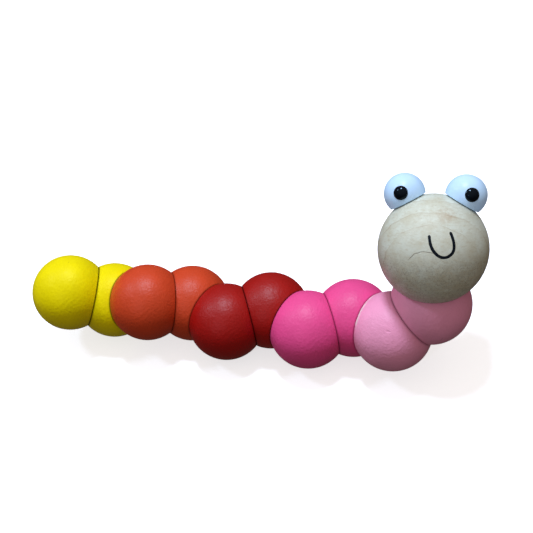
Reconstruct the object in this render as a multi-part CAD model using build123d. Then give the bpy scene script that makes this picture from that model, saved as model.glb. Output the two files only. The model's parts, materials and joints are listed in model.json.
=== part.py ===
from build123d import *
from math import cos, radians, sin, sqrt
import os

# A wooden twist worm: ten drilled balls and a head, threaded on one elastic cord.
# Each ball is drilled from two sides, the drillings meet at its centre at an angle,
# and each drilling leaves through a flat face. Neighbours turn against each other
# face to face, so twisting the balls bends the row into any shape.
# Millimetres and degrees. +X runs from tail to head, +Z is up, and the origin is on
# the table, under the middle of the whole worm.

# Balls
ball_diameter = 30.0
bend_angle = 51.0         # how far a ball turns the row aside
passing_gap = 2.5         # between two balls with one between them
joint_gap = 0.1           # between two flat faces that turn on each other
rim_rounding = 0.5        # where a flat face meets the round of the ball
bore_diameter = 5.0
elbow_spare = 0.25        # round pocket where two drillings meet, beyond their corner

# Cord, its two knots and the plugs that hide them
cord_diameter = 3.0
cord_clearance = 0.2      # round the cord, at a bore's inner corner and in the neck plug
knot_diameter = 6.4
knot_length = 5.0
knot_rounding = 1.8
knot_clearance = 0.8      # round a knot in its socket
knot_spare = 2.0          # free length behind the head's knot
tail_shoulder = 5.5       # from the tail ball's centre to the step its knot pulls on
tail_plug_gap = 0.5       # between the tail's knot and its plug
neck_plug_length = 8.0

# Head
head_diameter = 39.0
neck_face_diameter = 26.0
head_turn = 79.0          # about the neck, from the plane of the last ball
head_tilt = 24.0          # face tipped up from square to the neck
seat_depth = 0.6          # flat spot ground into the head under each eye
eye_diameter = 14.6
eye_foot = 3.0            # from an eye's centre down to its flat foot
eye_spread = 29.0         # each eye's lean from the top of the head
eye_rounding = 0.3
peg_diameter = 3.0
peg_length = 9.0
peg_end_space = 0.5
pupil_diameter = 5.0
pupil_socket_depth = 1.8
pupil_dome = 1.2          # dome height above the pupil's rim
pupil_lip = 0.1           # rim of the pupil above the eye around it
pupil_turn = {"left": -9.0, "right": 15.0}   # as seen by someone facing the worm
pupil_lift = 5.0

# Pose: how far each joint is twisted, tail first. 180 keeps three bonds flat.
twists = [-169.0, -153.0, -155.0, 180.0, 180.0, 166.0, -136.0, 58.0]
tail_twist = 180.0        # of the tail ball, which points its free end down and back
ball_names = ["ball_01_yellow", "ball_02_yellow", "ball_03_orange", "ball_04_orange",
              "ball_05_red", "ball_06_red", "ball_07_magenta", "ball_08_magenta",
              "ball_09_pink", "ball_10_pink"]
base_ball = 5             # index of the ball that the row is laid out from

# Worked out from the sizes above
ball_radius = ball_diameter / 2
half_bend = cos(radians(bend_angle / 2))
pitch = (ball_diameter + passing_gap) / (2 * half_bend)
face_distance = (pitch - joint_gap) / 2
bore_radius = bore_diameter / 2
corner_reach = bore_radius / half_bend    # to the inner corner where two bores meet
cord_radius = cord_diameter / 2
cord_bend_radius = (corner_reach - cord_radius - cord_clearance) / (1 / half_bend - 1)
socket_radius = knot_diameter / 2 + knot_clearance
head_radius = head_diameter / 2
neck_distance = sqrt(head_radius**2 - (neck_face_diameter / 2)**2)
neck_pitch = face_distance + joint_gap + neck_distance
neck_joint = neck_distance + joint_gap / 2
socket_depth = neck_plug_length + knot_length + knot_spare
eye_radius = eye_diameter / 2
seat_distance = head_radius - seat_depth
eye_distance = seat_distance + eye_foot
upwards = (Align.CENTER, Align.CENTER, Align.MIN)

# A port is a direction out of a ball: its Z axis is the drilling and the face normal.
next_port = Plane(origin=(0, 0, 0), z_dir=(1, 0, 0)).location
last_port = Plane(origin=(0, 0, 0),
                  z_dir=(-cos(radians(bend_angle)), sin(radians(bend_angle)), 0)).location


def rod(port, radius, start, end):
    return port * Pos(0, 0, start) * Cylinder(radius, end - start, align=upwards)


def faced_sphere(radius, cuts, rounding):
    # A sphere with flats, each given as a port and its distance from the centre. The
    # sphere's own seam runs down its -Y side, which has no flat.
    shape = Rot(0, 0, -90) * Sphere(radius)
    for port, distance in cuts:
        shape -= port * Pos(0, 0, distance) * Box(2 * radius, 2 * radius, radius, align=upwards)
    return fillet(shape.edges().filter_by(GeomType.CIRCLE), rounding)


def drilled(ball):
    # Two drillings, and the pocket that the drill opens where they meet.
    elbow = Sphere(corner_reach + elbow_spare)
    return (ball - elbow - rod(next_port, bore_radius, 0, ball_radius)
            - rod(last_port, bore_radius, 0, ball_radius))


def middle_ball():
    ball = faced_sphere(ball_radius, [(next_port, face_distance), (last_port, face_distance)],
                        rim_rounding)
    return drilled(ball)


def tail_ball():
    # The free end has no flat: its drilling widens into the socket of the tail knot.
    ball = drilled(faced_sphere(ball_radius, [(next_port, face_distance)], rim_rounding))
    return ball - rod(last_port, socket_radius, tail_shoulder, ball_radius)


def cord_between(start_port, start, end_port, end):
    # Cord along two drillings, with one bend where they meet.
    first, last = (start_port * Pos(0, 0, start)).position, (end_port * Pos(0, 0, end)).position
    route = FilletPolyline(first, (0, 0, 0), last, radius=cord_bend_radius)
    section = Plane(origin=first, z_dir=-first) * Circle(cord_radius)
    return sweep(section, path=route)


def knot(port, start):
    shape = rod(port, knot_diameter / 2, start, start + knot_length)
    return fillet(shape.edges().filter_by(GeomType.CIRCLE), knot_rounding)


def tail_plug():
    # Behind the knot, flush with the round of the ball.
    start = tail_shoulder + knot_length + tail_plug_gap
    return rod(last_port, socket_radius, start, ball_radius) & Sphere(ball_radius)


# In the head's own frame +X points between the eyes, +Y out of the face and +Z to the
# right of someone facing it.
neck_port = Plane(origin=(0, 0, 0),
                  z_dir=(-cos(radians(head_tilt)), -sin(radians(head_tilt)), 0)).location
eye_ports = {"left": Rot(0, eye_spread, 0) * next_port, "right": Rot(0, -eye_spread, 0) * next_port}


def head():
    cuts = [(neck_port, neck_distance)]
    shape = faced_sphere(head_radius, cuts, rim_rounding)
    shape -= rod(neck_port, socket_radius, neck_distance - socket_depth, neck_distance + rim_rounding)
    for port in eye_ports.values():
        shape -= port * Pos(0, 0, seat_distance) * Box(head_radius, head_radius, head_radius,
                                                       align=upwards)
        shape -= rod(port, peg_diameter / 2, seat_distance - peg_length / 2 - peg_end_space,
                     head_radius)
    return shape


def neck_plug():
    start = neck_distance - neck_plug_length
    return (rod(neck_port, socket_radius, start, neck_distance)
            - rod(neck_port, cord_radius + cord_clearance, start - 1, neck_distance + 1))


def gaze(side):
    # The pupil's port: from the eye's centre out through the pupil.
    centre = (eye_ports[side] * Pos(0, 0, eye_distance)).position
    outwards = Plane(origin=(0, 0, 0), z_dir=(0, 1, 0)).location
    return Pos(centre) * Rot(pupil_turn[side], 0, 0) * Rot(0, 0, -pupil_lift) * outwards


def pupil_body(side):
    rim = sqrt(eye_radius**2 - (pupil_diameter / 2)**2) + pupil_lip
    dome_radius = ((pupil_diameter / 2)**2 + pupil_dome**2) / (2 * pupil_dome)
    button = rod(gaze(side), pupil_diameter / 2, eye_radius - pupil_socket_depth, rim + pupil_dome)
    return button & gaze(side) * Pos(0, 0, rim + pupil_dome - dome_radius) * Sphere(dome_radius)


def eye(side):
    port = eye_ports[side]
    flat = port * Pos(0, 0, seat_distance) * Rot(180, 0, 0)
    ball = port * Pos(0, 0, eye_distance) * Sphere(eye_radius)
    ball -= flat * Box(eye_diameter, eye_diameter, eye_diameter, align=upwards)
    ball = fillet(ball.edges().filter_by(GeomType.CIRCLE), eye_rounding)
    ball -= rod(port, peg_diameter / 2, seat_distance - 1,
                seat_distance + peg_length / 2 + peg_end_space)
    return ball - rod(gaze(side), pupil_diameter / 2, eye_radius - pupil_socket_depth, eye_diameter)


def eye_peg(side):
    return rod(eye_ports[side], peg_diameter / 2, seat_distance - peg_length / 2,
               seat_distance + peg_length / 2)


def chain():
    # Frames at the ball centres, tail first, then the head's. +X points at the next one.
    # The whole chain is then moved so that the base ball stands on the table and its
    # two neighbours lie level with it.
    bend = Rot(0, 0, bend_angle)
    frames = [Location((0, 0, 0)), Pos(pitch, 0, 0) * bend]
    for twist in twists:
        frames.append(frames[-1] * Pos(pitch, 0, 0) * Rot(twist, 0, 0) * bend)
    frames.append(frames[-1] * Pos(neck_pitch, 0, 0) * Rot(head_turn, 0, 0) * Rot(0, 0, -head_tilt))
    frames[0] = frames[0] * Rot(tail_twist, 0, 0)
    standing = Pos(0, 0, ball_radius) * Rot(180, 0, 0) * Rot(0, 0, bend_angle / 2)
    move = standing * frames[base_ball].inverse()
    return [move * frame for frame in frames]


def pieces(frames):
    # Every piece in its place along the row, by node name.
    placed = {}
    middle = middle_ball()
    span = cord_between(last_port, pitch / 2, next_port, pitch / 2)
    for index, name in enumerate(ball_names[1:], start=1):
        placed[name] = frames[index] * middle
        placed[f"cord_span_{index + 1:02d}"] = frames[index] * span
    tail, crown = frames[0], frames[-1]
    placed[ball_names[0]] = tail * tail_ball()
    placed["cord_span_01"] = tail * cord_between(last_port, tail_shoulder, next_port, pitch / 2)
    placed["tail_knot"] = tail * knot(last_port, tail_shoulder)
    placed["tail_plug"] = tail * tail_plug()
    plug_end = neck_distance - neck_plug_length
    placed["head"] = crown * head()
    placed["neck_plug"] = crown * neck_plug()
    placed["cord_span_11"] = crown * rod(neck_port, cord_radius, plug_end, neck_joint)
    placed["head_knot"] = crown * knot(neck_port, plug_end - knot_length)
    for side in eye_ports:
        placed[f"eye_{side}"] = crown * eye(side)
        placed[f"eye_peg_{side}"] = crown * eye_peg(side)
        placed[f"pupil_{side}"] = crown * pupil_body(side)
    return placed


frames = chain()
placed = pieces(frames)
box = Compound(list(placed.values())).bounding_box()
to_origin = Pos(-box.center().X, -box.center().Y, -box.min.Z)
os.makedirs("parts", exist_ok=True)
for name, shape in placed.items():
    export_step(to_origin * shape, f"parts/{name}.step")
print(f"pitch {pitch:.3f}, neck pitch {neck_pitch:.3f}, whole worm {box.size}")
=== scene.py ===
import json
from math import cos, radians, sin

import bpy
from mathutils import Matrix, Vector

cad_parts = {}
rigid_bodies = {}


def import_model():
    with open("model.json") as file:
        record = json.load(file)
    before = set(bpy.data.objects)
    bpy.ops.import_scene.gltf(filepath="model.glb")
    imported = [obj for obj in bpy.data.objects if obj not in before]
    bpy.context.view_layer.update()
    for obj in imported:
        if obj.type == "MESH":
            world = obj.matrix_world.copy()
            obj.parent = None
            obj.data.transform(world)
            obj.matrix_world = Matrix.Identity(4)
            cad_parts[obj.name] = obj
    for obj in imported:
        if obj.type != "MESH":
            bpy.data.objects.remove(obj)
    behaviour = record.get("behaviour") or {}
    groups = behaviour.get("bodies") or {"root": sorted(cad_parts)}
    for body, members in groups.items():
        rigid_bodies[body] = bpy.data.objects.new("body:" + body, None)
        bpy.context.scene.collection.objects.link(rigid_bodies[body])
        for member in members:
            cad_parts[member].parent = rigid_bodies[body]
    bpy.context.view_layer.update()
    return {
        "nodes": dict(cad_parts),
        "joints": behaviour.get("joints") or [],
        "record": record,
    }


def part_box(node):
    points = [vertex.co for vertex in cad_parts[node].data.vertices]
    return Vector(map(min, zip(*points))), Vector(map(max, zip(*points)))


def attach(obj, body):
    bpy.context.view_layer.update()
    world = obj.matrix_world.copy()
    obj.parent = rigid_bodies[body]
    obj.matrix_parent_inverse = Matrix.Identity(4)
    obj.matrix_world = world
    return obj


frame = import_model()
nodes, record = frame["nodes"], frame["record"]
bodyNodes = record["behaviour"]["bodies"]
bodyOf = {name: body for body, names in bodyNodes.items() for name in names}
print("frame loaded:", len(nodes), "nodes")


def jointPlaces():
    # Each joint as its middle and its axis, pointing out of the body it belongs to.
    places = {}
    for joint in frame["joints"]:
        middle, axis = Vector(joint["pos_m"]), Vector(joint["axis"]).normalized()
        places.setdefault(joint["parent"], []).append((middle, axis))
        places.setdefault(joint["child"], []).append((middle, -axis))
    return places


def middleOf(name):
    low, high = (Vector(corner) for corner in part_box(name))
    return (low + high) / 2


row = {"halfPitch": 0.009002,       # from a joint to the centre of a ball beside it
       "neckReach": 0.014584,       # from the neck joint to the centre of the head
       "headRadius": 0.0195, "ballRadius": 0.015}
ports = jointPlaces()
centres = {}
for body, places in ports.items():
    reach = row["neckReach"] if body == "head_body" else row["halfPitch"]
    centres[body] = places[0][0] - places[0][1] * reach


def headFrame():
    # Columns: across from eye to eye, up between the eyes, and face forward.
    centre = centres["head_body"]
    left, right = middleOf("eye_left"), middleOf("eye_right")
    up = ((left + right) / 2 - centre).normalized()
    across = (right - left).normalized()
    if across.cross(up).dot(middleOf("pupil_left") - left) < 0:
        across = -across
    across = (across - up * across.dot(up)).normalized()
    return Matrix((across, up, across.cross(up))).transposed()


faceFrame = headFrame()

camera = {"lens": 63.15, "sensor": 36, "clip": (0.01, 20),
          "azimuth": 19.9, "elevation": 46.2, "roll": -10.0,
          "fromBall": (0.0834, -0.227, 0.2771)}     # from the ball that the row stands on


def addToScene(thing):
    bpy.context.scene.collection.objects.link(thing)
    return thing


def facing(direction):
    # A turn that points local Z along a direction.
    return direction.to_track_quat("Z", "Y").to_matrix().to_4x4()


def makeCamera():
    data = bpy.data.cameras.new("camera")
    data.lens, data.sensor_width = camera["lens"], camera["sensor"]
    data.clip_start, data.clip_end = camera["clip"]
    made = addToScene(bpy.data.objects.new("camera", data))
    turn, lift = radians(camera["azimuth"]), radians(camera["elevation"])
    back = Vector((sin(turn) * cos(lift), -cos(turn) * cos(lift), sin(lift)))
    place = Matrix.Translation(centres["segment_06"] + Vector(camera["fromBall"]))
    made.matrix_world = place @ facing(back) @ Matrix.Rotation(radians(camera["roll"]), 4, "Z")
    bpy.context.scene.camera = made


makeCamera()
print("camera placed")


class Wire:
    # A socket that takes part in sums: each operator adds one Math node.
    def __init__(self, web, socket):
        self.web, self.socket = web, socket

    def maths(self, operation, *values):
        return self.web.node("ShaderNodeMath", {"operation": operation}, dict(enumerate(values)))

    def __add__(self, other):
        return self.maths("ADD", self, other)

    def __radd__(self, other):
        return self.maths("ADD", other, self)

    def __sub__(self, other):
        return self.maths("SUBTRACT", self, other)

    def __rsub__(self, other):
        return self.maths("SUBTRACT", other, self)

    def __mul__(self, other):
        return self.maths("MULTIPLY", self, other)

    def __rmul__(self, other):
        return self.maths("MULTIPLY", other, self)

    def __truediv__(self, other):
        return self.maths("DIVIDE", self, other)

    def __pow__(self, other):
        return self.maths("POWER", self, other)

    def least(self, other):
        return self.maths("MINIMUM", self, other)

    def most(self, other):
        return self.maths("MAXIMUM", self, other)

    def wave(self):
        return self.maths("SINE", self)

    def part(self):
        return self.maths("FRACT", self)

    def size(self):
        return self.maths("ABSOLUTE", self)


class Web:
    # A node tree, and the one method that adds any node to it.
    def __init__(self, tree):
        self.tree = tree

    def node(self, kind, settings, values, output=0):
        made = self.tree.nodes.new(kind)
        for key, value in settings.items():
            if key == "stops":
                self.setStops(made.color_ramp, value)
            else:
                setattr(made, key, value)
        for key, value in values.items():
            self.feed(self.inUse(made.inputs, key), value)
        return Wire(self, self.inUse(made.outputs, output))

    def inUse(self, sockets, key):
        # A node may have a socket of one name for every data type, of which one is enabled.
        if isinstance(key, int):
            return sockets[key]
        return next(socket for socket in sockets if socket.name == key and socket.enabled)

    def setStops(self, ramp, stops):
        for index, (place, shade) in enumerate(stops):
            fresh = index >= len(ramp.elements)
            stop = ramp.elements.new(place) if fresh else ramp.elements[index]
            stop.position, stop.color = place, (*shade, 1)

    def feed(self, socket, value):
        if isinstance(value, Wire):
            self.tree.links.new(value.socket, socket)
        else:
            socket.default_value = value

    def vectors(self, operation, first, second=None, output=0):
        values = {0: first}
        if second is not None:
            values["Scale" if operation == "SCALE" else 1] = second
        return self.node("ShaderNodeVectorMath", {"operation": operation}, values, output)

    def length(self, vector):
        return self.vectors("LENGTH", vector, output="Value")

    def parts(self, vector):
        # The three numbers of a vector.
        whole = self.node("ShaderNodeSeparateXYZ", {}, {"Vector": vector})
        return [Wire(self, socket) for socket in whole.socket.node.outputs]


class Finish(Web):
    # One material: a Principled shader and the nodes that feed it.
    def __init__(self, name):
        self.material = bpy.data.materials.new(name)
        self.material.use_nodes = True
        super().__init__(self.material.node_tree)
        self.shader = self.tree.nodes["Principled BSDF"]

    def constants(self, values):
        # What is the same all over goes straight on the shader.
        for name, value in values.items():
            self.shader.inputs[name].default_value = value

    def measured(self, centre, angles=(0, 0, 0), stretch=(1, 1, 1)):
        # Object coordinates from a centre, turned and stretched.
        place = self.node("ShaderNodeTexCoord", {}, {}, "Object")
        return self.node("ShaderNodeMapping", {"vector_type": "TEXTURE"},
                         {"Vector": place, "Location": centre, "Rotation": angles,
                          "Scale": stretch})

    def noise(self, place, layer, output=0):
        # Values from 0 to 1 with features about the layer's size in metres.
        return self.node("ShaderNodeTexNoise", {},
                         {"Vector": place, "Scale": 1 / layer["size"], "Detail": layer["detail"],
                          "Roughness": layer.get("rough", 0.5)}, output)

    def spots(self, place, layer):
        # Small round spots, one in each cell of the layer's size.
        away = self.node("ShaderNodeTexVoronoi", {}, {"Vector": place, "Scale": 1 / layer["size"]},
                         "Distance")
        return self.band(away, *layer["band"], 1.0, 0.0)

    def band(self, value, low, high, first=0.0, last=1.0):
        return self.node("ShaderNodeMapRange", {"interpolation_type": "SMOOTHSTEP"},
                         {"Value": value, "From Min": low, "From Max": high, "To Min": first,
                          "To Max": last})

    def mix(self, share, first, second):
        shades = [(*shade, 1) if isinstance(shade, tuple) else shade for shade in (first, second)]
        return self.node("ShaderNodeMix", {"data_type": "RGBA"},
                         {"Factor": share, "A": shades[0], "B": shades[1]}, "Result")

    def done(self, shade, roughness, height):
        # The height is in metres.
        bump = self.node("ShaderNodeBump", {}, {"Height": height, "Strength": 1.0,
                                                "Distance": 1.0})
        self.feed(self.shader.inputs["Base Color"], shade)
        self.feed(self.shader.inputs["Roughness"], roughness)
        self.feed(self.shader.inputs["Normal"], bump)
        return self.material


def colour(red, green, blue):
    # Linear colour from the everyday 0 to 255 values.
    shares = [value / 255 for value in (red, green, blue)]
    return tuple(share / 12.92 if share < 0.04 else ((share + 0.055) / 1.055) ** 2.4
                 for share in shares)


def scaled(shade, factor):
    return tuple(min(value * factor, 1) for value in shade)


# Each paint's seam says how dark the painted shadow line at its seams is.
paints = {"yellow_paint": {"shade": colour(246, 230, 0), "seam": 0.62, "gleam": (1, 0.95, 0.25)},
          "orange_paint": {"shade": colour(208, 68, 30), "seam": 0.2, "gleam": (1, 1, 1)},
          "red_paint": {"shade": colour(162, 8, 5), "seam": 0.36, "gleam": (1, 1, 1)},
          "magenta_paint": {"shade": colour(242, 80, 150), "seam": 0.12, "gleam": (1, 1, 1)},
          "pink_paint": {"shade": colour(250, 165, 202), "seam": 0.08, "gleam": (1, 1, 1)}}

# Layers of the brushed coat. Sizes and heights are in metres, a tone is a factor on the paint's
# own shade, a share says how much of a layer's tone shows, and a band says where it sets in.
coat = {"shell": {"IOR": 1.48, "Specular IOR Level": 0.36},
        "grain": {"turn": (0.9, 0, 0), "turnPerBall": (1.3, 0.4, 2.1), "stretch": (1, 1, 9)},
        "cloud": {"size": 0.011, "detail": 2.0, "band": (0.3, 0.7), "tones": (0.93, 1.05),
                  "height": 6e-5},
        "patch": {"size": 0.0034, "detail": 3.0, "band": (0.35, 0.75), "tone": 0.97,
                  "share": 0.5, "roughness": (0.2, 0.8, 0.39, 0.51)},
        "fibre": {"size": 0.000864, "detail": 3.0, "rough": 0.6, "band": (0.58, 0.8),
                  "tone": 0.72, "share": 0.22, "height": 6.2e-5,
                  "roughness": (0.5, 0.8, 0.0, 0.05)},
        "peel": {"size": 0.001, "detail": 2.0, "height": 1.55e-4},
        "pits": {"size": 0.0042, "band": (0.03, 0.075), "depth": 1.2e-5},
        "specks": {"size": 0.0058, "band": (0.02, 0.05), "tone": 0.4, "share": 0.35},
        "chips": {"size": 0.0014, "detail": 4.0, "rough": 0.65}}

# Bands run along a joint's axis, with the flat face at 0, or out from that axis.
rim = {"ledge": (0.0105, 0.0118),
       # shaded and seam are painted shade: the paint darkens towards each flat's rim, in the
       # groove where two balls meet.
       "shaded": {"band": (-0.0008, -0.0001), "tone": 0.45, "share": 0.45},
       "seam": {"band": (-0.00042, -0.00016), "tone": 0.1},
       "flat": {"band": (-0.00022, -0.00012), "reach": (0.0115, 0.0108), "tone": 0.6,
                "share": 0.12, "roughness": 0.06},
       "turning": {"waves": 5200, "sway": 6, "share": 0.12, "height": 4e-6},
       "bore": {"reach": (0.00262, 0.00254), "band": (-0.0095, -0.009)},
       "worn": {"chips": (0.66, 0.8), "share": 0.25, "depth": 3e-5, "roughness": 0.2}}

chippedRim = {"name": "ball_09_pink", "primer": colour(246, 228, 228), "share": 0.85,
              "band": (-0.0018, -0.00072), "chips": (0.38, 0.48),
              "above": (0.0062, 0.0072), "ragged": 0.004}       # height over the ball's centre

dent = {"name": "ball_09_pink", "towards": (0.006, -0.655, 0.773), "depth": 1.1e-4,
        "squeeze": (1, 1.4, 3.4), "band": (0.0013, 0.0004)}

bareWood = {"face": colour(222, 196, 152), "dark": colour(178, 142, 98)}


def besidePort(finish, point, offset, outward):
    # How far out past a flat face a point lies, and how far from its joint's axis.
    away = finish.vectors("SUBTRACT", point, tuple(offset))
    along = finish.vectors("DOT_PRODUCT", away, tuple(outward), "Value")
    return along, finish.length(finish.vectors("CROSS_PRODUCT", away, tuple(outward)))


def brushedCoat(finish, base, point, grain):
    # The paint away from its rims: its noises, and its shade, roughness and height.
    looks = {layer: finish.noise(grain if layer == "fibre" else point, coat[layer])
             for layer in ("cloud", "patch", "fibre", "peel", "chips")}
    shade = finish.mix(finish.band(looks["cloud"], *coat["cloud"]["band"]),
                       *(scaled(base, tone) for tone in coat["cloud"]["tones"]))
    for layer in ("patch", "fibre"):
        share = finish.band(looks[layer], *coat[layer]["band"]) * coat[layer]["share"]
        shade = finish.mix(share, shade, scaled(base, coat[layer]["tone"]))
    specks = finish.spots(grain, coat["specks"]) * coat["specks"]["share"]
    looks["shade"] = finish.mix(specks, shade, scaled(base, coat["specks"]["tone"]))
    looks["roughness"] = (finish.band(looks["patch"], *coat["patch"]["roughness"])
                          + finish.band(looks["fibre"], *coat["fibre"]["roughness"]))
    looks["height"] = (looks["peel"] * coat["peel"]["height"]
                       + looks["fibre"] * coat["fibre"]["height"]
                       - finish.spots(point, coat["pits"]) * coat["pits"]["depth"]
                       + looks["cloud"] * coat["cloud"]["height"])
    return looks


def rimAndFlat(finish, looks, paint, point, port, chipped):
    # Where a ball meets its neighbour: painted shade along the rim, a darker painted shadow line
    # at the seam, worn rim, turned flat, and the bore's mouth.
    base = paint["shade"]
    along, aside = besidePort(finish, point, *port)
    ledge = finish.band(aside, *rim["ledge"])
    # Painted shade along the rim, in the groove where two balls meet.
    shaded = finish.band(along, *rim["shaded"]["band"]) * ledge
    if chipped:
        wear, under = {**rim["worn"], **chippedRim}, chippedRim["primer"]
        height = finish.parts(point)[2] + (looks["chips"] - 0.5) * wear["ragged"]
        where = finish.band(along, *wear["band"]) * ledge * finish.band(height, *wear["above"])
    else:
        wear, under, where = rim["worn"], bareWood["face"], shaded
    worn = where * finish.band(looks["chips"], *wear["chips"])
    # A painted shadow line right at the seam.
    seam = finish.band(along, *rim["seam"]["band"]) * ledge
    flat = finish.band(along, *rim["flat"]["band"]) * finish.band(aside, *rim["flat"]["reach"])
    turning = rim["turning"]
    rings = (aside * turning["waves"] + looks["cloud"] * turning["sway"]).wave() * 0.5 + 0.5
    bore = finish.band(aside, *rim["bore"]["reach"]) * finish.band(along, *rim["bore"]["band"])
    layers = [(shaded * rim["shaded"]["share"], scaled(base, rim["shaded"]["tone"])),
              (seam * paint["seam"], scaled(base, rim["seam"]["tone"])),
              (flat * (rim["flat"]["share"] + rings * turning["share"]),
               scaled(base, rim["flat"]["tone"])),
              (worn * wear["share"], under),
              (bore, bareWood["dark"])]
    for share, shade in layers:
        looks["shade"] = finish.mix(share, looks["shade"], shade)
    looks["height"] = (looks["height"] - worn * wear["depth"]
                       + flat * rings * turning["height"])
    looks["roughness"] = (looks["roughness"] + worn * wear["roughness"]
                          - flat * rim["flat"]["roughness"])


def dentDepth(finish, point):
    # A narrow knock in the wood, longer than it is wide.
    spot = Vector(dent["towards"]).normalized() * row["ballRadius"]
    away = finish.vectors("SUBTRACT", point, tuple(spot))
    reach = finish.length(finish.vectors("MULTIPLY", away, dent["squeeze"]))
    return finish.band(reach, *dent["band"]) * dent["depth"]


def paintFinish(name, slot, order):
    finish = Finish(name + "_paint")
    centre, paint = centres[bodyOf[name]], paints[slot]
    point = finish.measured(centre)
    angles = [first + step * order for first, step in zip(coat["grain"]["turn"],
                                                          coat["grain"]["turnPerBall"])]
    grain = finish.measured(centre, angles, coat["grain"]["stretch"])
    looks = brushedCoat(finish, paint["shade"], point, grain)
    for middle, outward in ports[bodyOf[name]]:
        chipped = name == chippedRim["name"] and outward.z < 0
        rimAndFlat(finish, looks, paint, point, (middle - centre, outward), chipped)
    if name == dent["name"]:
        looks["height"] = looks["height"] - dentDepth(finish, point)
    finish.constants({**coat["shell"], "Specular Tint": (*paint["gleam"], 1)})
    return finish.done(looks["shade"], looks["roughness"], looks["height"])


# The head's wood, measured across the face, up and forward from its centre. The rings count from
# the first one that shows, and "inside" is more than the number of rings within it.
headWood = {"shell": {"IOR": 1.47, "Specular IOR Level": 0.45},
            "pale": colour(214, 222, 208), "warm": colour(201, 203, 183),
            "late": colour(188, 180, 150), "fleck": colour(232, 236, 222),
            "rings": {"centre": (0.0, -0.0072), "first": 0.0083, "gap": 0.0043, "inside": 8,
                      "late": (0.3, 0.97), "lateShare": 0.22, "outer": (0.011, 0.0165),
                      "line": (0.9, 0.985), "lineEnd": (1.0, 0.99), "share": 0.34,
                      "shade": colour(150, 128, 98), "depth": 8e-6},
            "drift": {"size": 0.014, "detail": 2.0, "shift": 0.0034},
            "ripple": {"size": 0.0035, "detail": 3.0, "shift": 0.0005},
            "broken": {"size": 0.009, "detail": 2.0, "band": (0.42, 0.62)},
            "mottle": {"size": 0.006, "detail": 4.0, "rough": 0.62, "band": (0.32, 0.7),
                       "height": 4e-5, "roughness": (0.3, 0.75, 0.44, 0.54)},
            "fine": {"size": 0.0006, "detail": 3.0, "rough": 0.6, "stretch": (2.5, 1, 7),
                     "dark": (0.5, 0.72), "darkShare": 0.42, "light": (0.45, 0.25),
                     "lightShare": 0.3, "height": 1.2e-5},
            "chin": {"band": (0.002, -0.006, 0.25, 1.0), "ragged": 0.012},
            "bend": {"size": 0.00625, "detail": 2.0, "reach": 0.008},
            "swirl": {"size": 0.0016, "detail": 4.0, "rough": 0.7, "band": (0.48, 0.72),
                      "share": 0.42, "height": 1.5e-5},
            "curls": {"band": (0.035, 0.004), "share": 0.27, "depth": 3e-5},
            "pores": {"size": 0.00055, "detail": 3.0, "rough": 0.65, "stretch": (1, 1, 8),
                      "band": (0.565, 0.66), "share": 0.28, "shade": colour(96, 84, 62),
                      "depth": 2e-5, "roughness": 0.12},
            "knot": {"place": (0.0045, 0.0135, 0.0135), "band": (0.0052, 0.001),
                     "mottle": (0.42, 0.6), "share": 0.5, "shade": colour(176, 150, 120)},
            "crack": {"centre": (-0.0019, -0.007, 0), "bow": 0.0082, "waver": 0.0016,
                      "width": (0.00018, 0.00004), "start": (-0.0084, -0.0072),
                      "end": (0.0014, 0.0002), "above": (-0.003, -0.002), "front": (0.008, 0.01),
                      "share": 0.6, "shade": colour(92, 74, 52), "depth": 8e-5},
            # neck: painted shade, a darker line along the neck joint where the head meets the ball
            # under it.
            "neck": {"band": (-0.0002, -0.0001), "share": 0.3},
            # seatMarkAndShade: a brown line round each eye's seat, partly a real brown mark and
            # partly painted shade in the gap under the eye.
            "seatMarkAndShade": {"band": (0.01845, 0.0188), "share": 0.8, "shade": colour(96, 60, 36)}}


def headRings(finish, point, ripple):
    # Growth rings round a line that runs out through the chin.
    rings = headWood["rings"]
    across, up, _ = finish.parts(point)
    side, rise = across - rings["centre"][0], up - rings["centre"][1]
    drift = finish.noise(point, headWood["drift"])
    reach = ((side * side + rise * rise) ** 0.5 + (drift - 0.5) * headWood["drift"]["shift"]
             + (ripple - 0.5) * headWood["ripple"]["shift"])
    place = ((reach - rings["first"]) / rings["gap"] + rings["inside"]).part()
    outer = finish.band(reach, *rings["outer"])
    line = finish.band(place, *rings["line"]) * finish.band(place, *rings["lineEnd"]) * outer
    return finish.band(place, *rings["late"]) * outer, line


def headCrack(finish, point, ripple):
    # A hairline on a bow over the chin.
    crack = headWood["crack"]
    across, up, forward = finish.parts(point)
    away = finish.vectors("MULTIPLY", finish.vectors("SUBTRACT", point, crack["centre"]),
                          (1, 1, 0))
    gap = (finish.length(away) - crack["bow"] + (ripple - 0.5) * crack["waver"]).size()
    return (finish.band(gap, *crack["width"]) * finish.band(across, *crack["start"])
            * finish.band(across, *crack["end"]) * finish.band(up, *crack["above"])
            * finish.band(forward, *crack["front"]))


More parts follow.
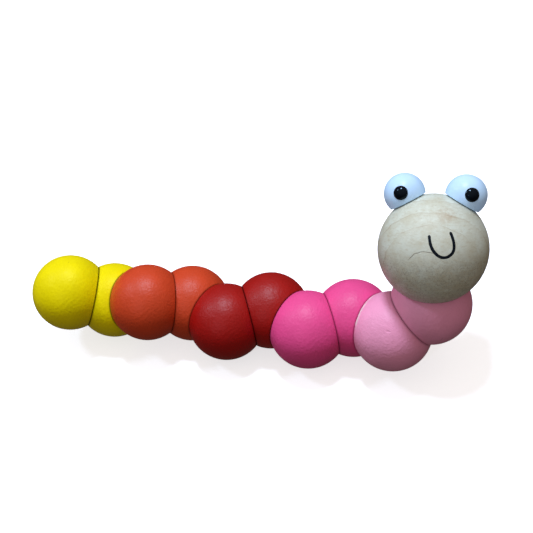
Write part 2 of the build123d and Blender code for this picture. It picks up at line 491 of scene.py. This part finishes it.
def headFinish():
    # Turned wood: rings, curled grain and open pores low on the face, and a few old marks. Painted
    # shade along the neck joint, and a brown line round each eye's seat that is partly a real mark
    # and partly painted shade.
    finish = Finish("head_beech")
    centre, turn = centres["head_body"], tuple(faceFrame.to_euler())
    plain, point = finish.measured(centre), finish.measured(centre, turn)
    wood = headWood
    ripple, mottle = (finish.noise(point, wood[layer]) for layer in ("ripple", "mottle"))
    pores, fine = (finish.noise(finish.measured(centre, turn, wood[layer]["stretch"]), wood[layer])
                   for layer in ("pores", "fine"))
    late, line = headRings(finish, point, ripple)
    broken = finish.band(finish.noise(point, wood["broken"]), *wood["broken"]["band"])
    low = finish.band(finish.parts(point)[1] + (mottle - 0.5) * wood["chin"]["ragged"],
                      *wood["chin"]["band"])
    bend = finish.vectors("SCALE", finish.noise(point, wood["bend"], "Color"),
                          wood["bend"]["reach"])
    swirl = finish.noise(finish.vectors("ADD", point, bend), wood["swirl"])
    curls = finish.band((swirl - 0.5).size(), *wood["curls"]["band"]) * low
    dots = finish.band(pores, *wood["pores"]["band"]) * low
    knot = (finish.band(finish.vectors("DISTANCE", point, wood["knot"]["place"], "Value"),
                        *wood["knot"]["band"])
            * finish.band(mottle, *wood["knot"]["mottle"]))
    crack = headCrack(finish, point, ripple)
    (middle, outward), = ports["head_body"]
    # How far out past the neck's flat face, for the painted shade along the neck joint.
    neck, _ = besidePort(finish, plain, middle - centre, outward)
    layers = [
        (late * wood["rings"]["lateShare"], wood["late"]),
        (finish.band(swirl, *wood["swirl"]["band"]) * low * wood["swirl"]["share"], wood["late"]),
        (finish.band(fine, *wood["fine"]["dark"]) * wood["fine"]["darkShare"], wood["late"]),
        (finish.band(fine, *wood["fine"]["light"]) * wood["fine"]["lightShare"], wood["fleck"]),
        (line * broken * wood["rings"]["share"], wood["rings"]["shade"]),
        (knot * wood["knot"]["share"], wood["knot"]["shade"]),
        (dots * wood["pores"]["share"], wood["pores"]["shade"]),
        (curls * wood["curls"]["share"], wood["pores"]["shade"]),
        (crack * wood["crack"]["share"], wood["crack"]["shade"]),
        (finish.band(neck, *wood["neck"]["band"]) * wood["neck"]["share"], wood["late"])]
    # Round each eye's seat, a brown line that is partly a real mark and partly painted shade.
    for eye in ("eye_left", "eye_right"):
        seat = (middleOf(eye) - centre).normalized()
        rise = finish.vectors("DOT_PRODUCT", plain, tuple(seat), "Value")
        layers.append((finish.band(rise, *wood["seatMarkAndShade"]["band"]) * wood["seatMarkAndShade"]["share"],
                       wood["seatMarkAndShade"]["shade"]))
    shade = finish.mix(finish.band(mottle, *wood["mottle"]["band"]), wood["pale"], wood["warm"])
    for share, tone in layers:
        shade = finish.mix(share, shade, tone)
    height = (mottle * wood["mottle"]["height"] + fine * wood["fine"]["height"]
              + swirl * wood["swirl"]["height"] - dots * wood["pores"]["depth"]
              - curls * wood["curls"]["depth"] - line * wood["rings"]["depth"]
              - crack * wood["crack"]["depth"])
    rough = finish.band(mottle, *wood["mottle"]["roughness"]) + dots * wood["pores"]["roughness"]
    finish.constants(wood["shell"])
    return finish.done(shade, rough, height)


eyePaint = {"shell": {"IOR": 1.5, "Specular IOR Level": 0.3, "Emission Strength": 0.14,
                      "Emission Color": (0.38, 0.6, 1.0, 1)},       # painted light: the eye paint glows faintly blue, which lightens its shaded underside
            "cool": colour(188, 222, 252), "pale": colour(196, 229, 254),
            "cloud": {"size": 0.006, "detail": 2.0, "band": (0.3, 0.7), "height": 2.5e-5},
            "peel": {"size": 0.0011, "detail": 2.0, "height": 7e-6,
                     "roughness": (0.2, 0.8, 0.32, 0.4)},
            "dust": {"size": 0.0031, "band": (0.03, 0.07), "share": 0.2, "roughness": 0.1,
                     "shade": colour(120, 124, 140)}}


# The white glows faintly blue from its shell settings: painted light that lifts the shade under
# each eye.
def eyeFinish(name):
    finish = Finish(name + "_paint")
    point = finish.measured(middleOf(name))
    cloud, peel = (finish.noise(point, eyePaint[layer]) for layer in ("cloud", "peel"))
    dust = finish.spots(point, eyePaint["dust"])
    shade = finish.mix(finish.band(cloud, *eyePaint["cloud"]["band"]), eyePaint["cool"],
                       eyePaint["pale"])
    shade = finish.mix(dust * eyePaint["dust"]["share"], shade, eyePaint["dust"]["shade"])
    rough = (finish.band(peel, *eyePaint["peel"]["roughness"])
             + dust * eyePaint["dust"]["roughness"])
    finish.constants(eyePaint["shell"])
    return finish.done(shade, rough, peel * eyePaint["peel"]["height"]
                       + cloud * eyePaint["cloud"]["height"])


black = {"shell": {"IOR": 1.45, "Specular IOR Level": 0.26, "Specular Tint": (0.55, 0.8, 1.0, 1)},
         "deep": colour(3, 6, 13), "worn": colour(10, 15, 25),
         "cloud": {"size": 0.0016, "detail": 3.0, "band": (0.3, 0.7), "roughness": 0.05},
         "scratches": {"turn": (0.4, 0.9, 0.2), "stretch": (1, 1, 14), "size": 0.0004,
                       "detail": 2.0, "band": (0.6, 0.75), "roughness": 0.08},
         "pupil": {"roughness": 0.06, "height": 4e-6},
         "ink": {"roughness": 0.6, "height": 2e-5}}


def blackFinish(name, place, kind):
    # Moulded pupils and the drawn mouth: near black, and never quite even.
    finish = Finish(name)
    scratches, rough = black["scratches"], black[kind]["roughness"]
    cloud = finish.noise(finish.measured(place), black["cloud"])
    lines = finish.noise(finish.measured(place, scratches["turn"], scratches["stretch"]),
                         scratches)
    shade = finish.mix(cloud, black["deep"], black["worn"])
    finish.constants(black["shell"])
    rough = finish.band(cloud, *black["cloud"]["band"], rough, rough + black["cloud"]["roughness"])
    rough = rough + finish.band(lines, *scratches["band"]) * scratches["roughness"]
    return finish.done(shade, rough, cloud * black[kind]["height"])


# gapShade is painted shade: the darker colour in the gaps between threads.
weave = {"first": (4200, 4200, 2600), "second": (4200, -2600, -4200), "band": (-0.2, 0.8),
         "gapShade": colour(170, 166, 158), "threads": colour(236, 234, 228), "height": 6e-5,
         "fuzz": {"size": 0.0004, "detail": 3.0, "share": 0.25, "shade": colour(190, 184, 174),
                  "roughness": (0.2, 0.8, 0.75, 0.9)}}


def cordFinish():
    # Round elastic in a woven cover: two sets of threads that cross, with painted shade in the
    # gaps between them.
    finish = Finish("elastic_cord_weave")
    point = finish.measured(centres["segment_06"])
    first, second = (finish.vectors("DOT_PRODUCT", point, weave[way], "Value").wave()
                     for way in ("first", "second"))
    threads = first.most(second)
    fuzz = finish.noise(point, weave["fuzz"])
    shade = finish.mix(finish.band(threads, *weave["band"]), weave["gapShade"], weave["threads"])
    shade = finish.mix(fuzz * weave["fuzz"]["share"], shade, weave["fuzz"]["shade"])
    return finish.done(shade, finish.band(fuzz, *weave["fuzz"]["roughness"]),
                       threads * weave["height"])


rod = {"fibre": {"size": 0.0005, "detail": 3.0, "stretch": (1, 1, 12), "band": (0.3, 0.7),
                 "height": 2e-5, "roughness": (0.3, 0.7, 0.5, 0.65)},
       "rings": {"waves": 3800, "sway": 3, "band": (0.5, 1.0), "share": 0.3}}


def rodFinish(name):
    # Turned beech rod: fine long grain along its own line.
    finish = Finish(name + "_beech")
    centre = middleOf(name)
    turn = tuple((centre - centres[bodyOf[name]]).to_track_quat("Z", "Y").to_euler())
    fibre = finish.noise(finish.measured(centre, turn, rod["fibre"]["stretch"]), rod["fibre"])
    across = finish.parts(finish.measured(centre, turn))[0]
    rings = (across * rod["rings"]["waves"] + fibre * rod["rings"]["sway"]).wave()
    shade = finish.mix(finish.band(fibre, *rod["fibre"]["band"]), bareWood["face"],
                       bareWood["dark"])
    rings = finish.band(rings, *rod["rings"]["band"]) * rod["rings"]["share"]
    shade = finish.mix(rings, shade, bareWood["dark"])
    return finish.done(shade, finish.band(fibre, *rod["fibre"]["roughness"]),
                       fibre * rod["fibre"]["height"])


def finishFor(name, slot, order):
    if slot in paints:
        return paintFinish(name, slot, order)
    if slot == "eye_white":
        return eyeFinish(name)
    if slot == "face_black":
        return blackFinish(name + "_gloss", middleOf(name), "pupil")
    return rodFinish(name)


def dress(name, material):
    piece = nodes[name]
    if not piece.material_slots:
        piece.data.materials.append(material)
    for holder in piece.material_slots:
        holder.material = material


def dressNodes():
    slots = {part["node"]: part["material_slot"] for part in record["subparts"]}
    shared = {"elastic_cord": cordFinish(), "head_wood": headFinish()}
    for order, name in enumerate(sorted(nodes)):
        slot = slots[name]
        dress(name, shared[slot] if slot in shared else finishFor(name, slot, order))


dressNodes()
print("finishes on", len(nodes), "nodes")


# The mouth's line in degrees from face forward, across and up; its sizes in metres and shares.
mouth = {"turns": ((-4.4, 20.7), (-3.2, 11.5), (0.6, 3.6), (8.6, -2.4), (17.8, -0.6),
                   (23.6, 8.5), (17.8, 24.4)),
         "order": 4, "resolution": 24, "inkFrom": (8, 3),
         "sizes": {"Width": 0.00102, "Rise": 0.05, "Unevenness": 0.34, "Waves": 420.0,
                   "Taper": 40.0, "Thinnest": 0.12, "Steps": 120, "Sides": 16}}


def onFace(across, up):
    # A point on the head's sphere from two turns in degrees.
    side, lift = radians(across), radians(up)
    direction = Vector((sin(side) * cos(lift), sin(lift), cos(side) * cos(lift)))
    return centres["head_body"] + faceFrame @ direction * row["headRadius"]


class Growth(Web):
    # A Geometry Nodes tree with its inputs by name.
    def __init__(self, name, inputs):
        super().__init__(bpy.data.node_groups.new(name, "GeometryNodeTree"))
        shape = self.tree.interface
        shape.new_socket("Geometry", in_out="INPUT", socket_type="NodeSocketGeometry")
        self.keys = {label: shape.new_socket(label, in_out="INPUT", socket_type=kind).identifier
                     for label, kind in inputs.items()}
        shape.new_socket("Geometry", in_out="OUTPUT", socket_type="NodeSocketGeometry")
        self.start = self.tree.nodes.new("NodeGroupInput")
        self.end = self.tree.nodes.new("NodeGroupOutput")

    def given(self, label):
        return Wire(self, self.start.outputs[label])

    def finished(self, geometry):
        self.feed(self.end.inputs["Geometry"], geometry)
        return self


def strokeTree(material):
    # A brush stroke: a line laid on a sphere, made a tube, and pressed down on the sphere.
    kinds = {"Centre": "Vector", "Steps": "Int", "Sides": "Int"}
    labels = ("Centre", "Radius", *mouth["sizes"])
    growth = Growth("brush_stroke", {label: "NodeSocket" + kinds.get(label, "Float")
                                     for label in labels})
    centre, radius, width, rise, unevenness, waves, taper, thinnest, steps, sides = (
        growth.given(label) for label in labels)
    line = growth.node("GeometryNodeResampleCurve", {},
                       {"Curve": growth.given("Geometry"), "Count": steps})
    place = growth.node("GeometryNodeInputPosition", {}, {})
    away = growth.vectors("SUBTRACT", place, centre)
    outward = growth.vectors("NORMALIZE", away)
    onBall = growth.vectors("ADD", growth.vectors("SCALE", outward, radius), centre)
    line = growth.node("GeometryNodeSetPosition", {}, {"Geometry": line, "Position": onBall})
    hand = growth.node("ShaderNodeTexNoise", {}, {"Scale": waves})
    share = growth.node("GeometryNodeSplineParameter", {}, {})
    ends = (share.least(1.0 - share) * taper).least(1.0) ** 0.5
    breadth = (((hand - 0.5) * unevenness + 1.0) * ends).most(thinnest)
    ring = growth.node("GeometryNodeCurvePrimitiveCircle", {},
                       {"Resolution": sides, "Radius": width * 0.5})
    tube = growth.node("GeometryNodeCurveToMesh", {},
                       {"Curve": line, "Profile Curve": ring, "Scale": breadth,
                        "Fill Caps": True})
    lift = (growth.length(away) - radius) * rise
    pressed = growth.vectors("ADD", growth.vectors("SCALE", outward, radius + lift), centre)
    stroke = growth.node("GeometryNodeSetPosition", {}, {"Geometry": tube, "Position": pressed})
    stroke = growth.node("GeometryNodeSetShadeSmooth", {},
                         {"Geometry": stroke, "Shade Smooth": True})
    stroke = growth.node("GeometryNodeRealizeInstances", {}, {"Geometry": stroke})
    stroke = growth.node("GeometryNodeSetMaterial", {}, {"Geometry": stroke, "Material": material})
    return growth.finished(stroke)


def drawMouth():
    line = bpy.data.curves.new("mouth_line", "CURVE")
    line.dimensions = "3D"
    spline = line.splines.new("NURBS")
    spline.points.add(len(mouth["turns"]) - 1)
    for point, (across, up) in zip(spline.points, mouth["turns"]):
        point.co = (*onFace(across, up), 1)
    spline.order_u, spline.use_endpoint_u = mouth["order"], True
    spline.resolution_u = mouth["resolution"]
    guide = addToScene(bpy.data.objects.new("mouth_line", line))
    growth = strokeTree(blackFinish("mouth_ink", onFace(*mouth["inkFrom"]), "ink"))
    modifier = guide.modifiers.new("stroke", "NODES")
    modifier.node_group = growth.tree
    sizes = {"Centre": centres["head_body"], "Radius": row["headRadius"], **mouth["sizes"]}
    for label, size in sizes.items():
        modifier[growth.keys[label]] = size
    depsgraph = bpy.context.evaluated_depsgraph_get()
    mesh = bpy.data.meshes.new_from_object(guide.evaluated_get(depsgraph))
    bpy.data.objects.remove(guide)
    stroke = addToScene(bpy.data.objects.new("mouth_stroke", mesh))
    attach(stroke, "head_body")
    print("mouth drawn:", len(mesh.polygons), "faces")


drawMouth()

# A round pale table that sweeps up to a wall far behind, so that no edge shows.
table = {"hub": 0.4, "flat": 2.0, "sweep": 1.2, "wall": 2.4, "steps": 12, "sides": 72,
         "shade": (0.84, 0.88, 0.95), "lighter": 1.02, "nearGlow": 0.66, "farGlow": 0.92,
         "glowBand": (0.25, 0.9), "roughness": (0, 1, 0.9, 0.95), "height": 1e-5,
         "cloud": {"size": 0.03, "detail": 3.0}}


def tableProfile():
    # Radius and height of each ring: flat, a quarter sweep, then a wall.
    rings = [(table["hub"], 0), (table["flat"], 0)]
    for step in range(1, table["steps"] + 1):
        turn = radians(90 * step / table["steps"])
        rings.append((table["flat"] + sin(turn) * table["sweep"],
                      (1 - cos(turn)) * table["sweep"]))
    return rings + [(rings[-1][0], table["wall"])]


def tableMesh():
    sides, profile = table["sides"], tableProfile()
    points, faces = [(0, 0, 0)], []
    for radius, height in profile:
        for side in range(sides):
            turn = radians(360 * side / sides)
            points.append((cos(turn) * radius, sin(turn) * radius, height))
    for side in range(sides):
        after = (side + 1) % sides
        faces.append((0, 1 + side, 1 + after))
        for ring in range(len(profile) - 1):
            start, end = 1 + ring * sides, 1 + (ring + 1) * sides
            faces.append((start + side, end + side, end + after, start + after))
    mesh = bpy.data.meshes.new("table_top")
    mesh.from_pydata(points, [], faces)
    mesh.shade_smooth()
    return mesh


def tableFinish():
    # Matt white, with a glow of its own that takes over from the lamps further out.
    finish = Finish("table_white")
    point = finish.measured((0, 0, 0))
    cloud = finish.noise(point, table["cloud"])
    shade = finish.mix(cloud, table["shade"], scaled(table["shade"], table["lighter"]))
    far = finish.band(finish.length(point), *table["glowBand"])
    glow = finish.mix(far, (table["nearGlow"],) * 3, (table["farGlow"],) * 3)
    finish.feed(finish.shader.inputs["Emission Color"], glow)
    finish.constants({"Emission Strength": 1.0, "Specular IOR Level": 0.0})
    return finish.done(shade, finish.band(cloud, *table["roughness"]), cloud * table["height"])


def makeTable():
    mesh = tableMesh()
    mesh.materials.append(tableFinish())
    top = addToScene(bpy.data.objects.new("table_top", mesh))
    top.visible_diffuse = top.visible_glossy = top.visible_shadow = False


makeTable()

studio = {"reach": 0.9, "lampTint": (0.92, 1.04, 1.26),
          "lamps": {"key": {"from": (-0.05, 0.2, 1.0), "across": 0.16, "power": 5.0},
                    "left": {"from": (-0.66, 0.0, 0.75), "across": 0.12, "power": 1.3},
                    "front": {"from": (-0.2, -0.8, 0.6), "across": 0.06, "power": 0.4}},
          "skyTint": (1.0, 0.83, 0.71), "sky": ((0.0, 0.085), (0.9, 0.5))}     # height, strength


def makeLamps():
    aim = centres["segment_06"]
    for name, lamp in studio["lamps"].items():
        data = bpy.data.lights.new(name + "_lamp", "AREA")
        data.shape, data.size, data.energy = "DISK", lamp["across"], lamp["power"]
        data.color = studio["lampTint"]
        away = Vector(lamp["from"]).normalized()
        made = addToScene(bpy.data.objects.new(name + "_lamp", data))
        made.matrix_world = Matrix.Translation(aim + away * studio["reach"]) @ facing(away)


def makeSky():
    # Brighter above than below, the same all round.
    world = bpy.data.worlds.new("studio_sky")
    bpy.context.scene.world = world
    world.use_nodes = True
    sky = Web(world.node_tree)
    height = sky.parts(sky.node("ShaderNodeTexCoord", {}, {}, "Generated"))[2]
    stops = [(place, scaled(studio["skyTint"], strength)) for place, strength in studio["sky"]]
    shade = sky.node("ShaderNodeValToRGB", {"stops": stops}, {"Fac": height})
    background = world.node_tree.nodes["Background"]
    sky.feed(background.inputs["Color"], shade)
    background.inputs["Strength"].default_value = 1.0


makeLamps()
makeSky()
bpy.context.scene.view_settings.view_transform = "Standard"
bpy.context.scene.view_settings.look = "None"
print("table, lights and sky set")
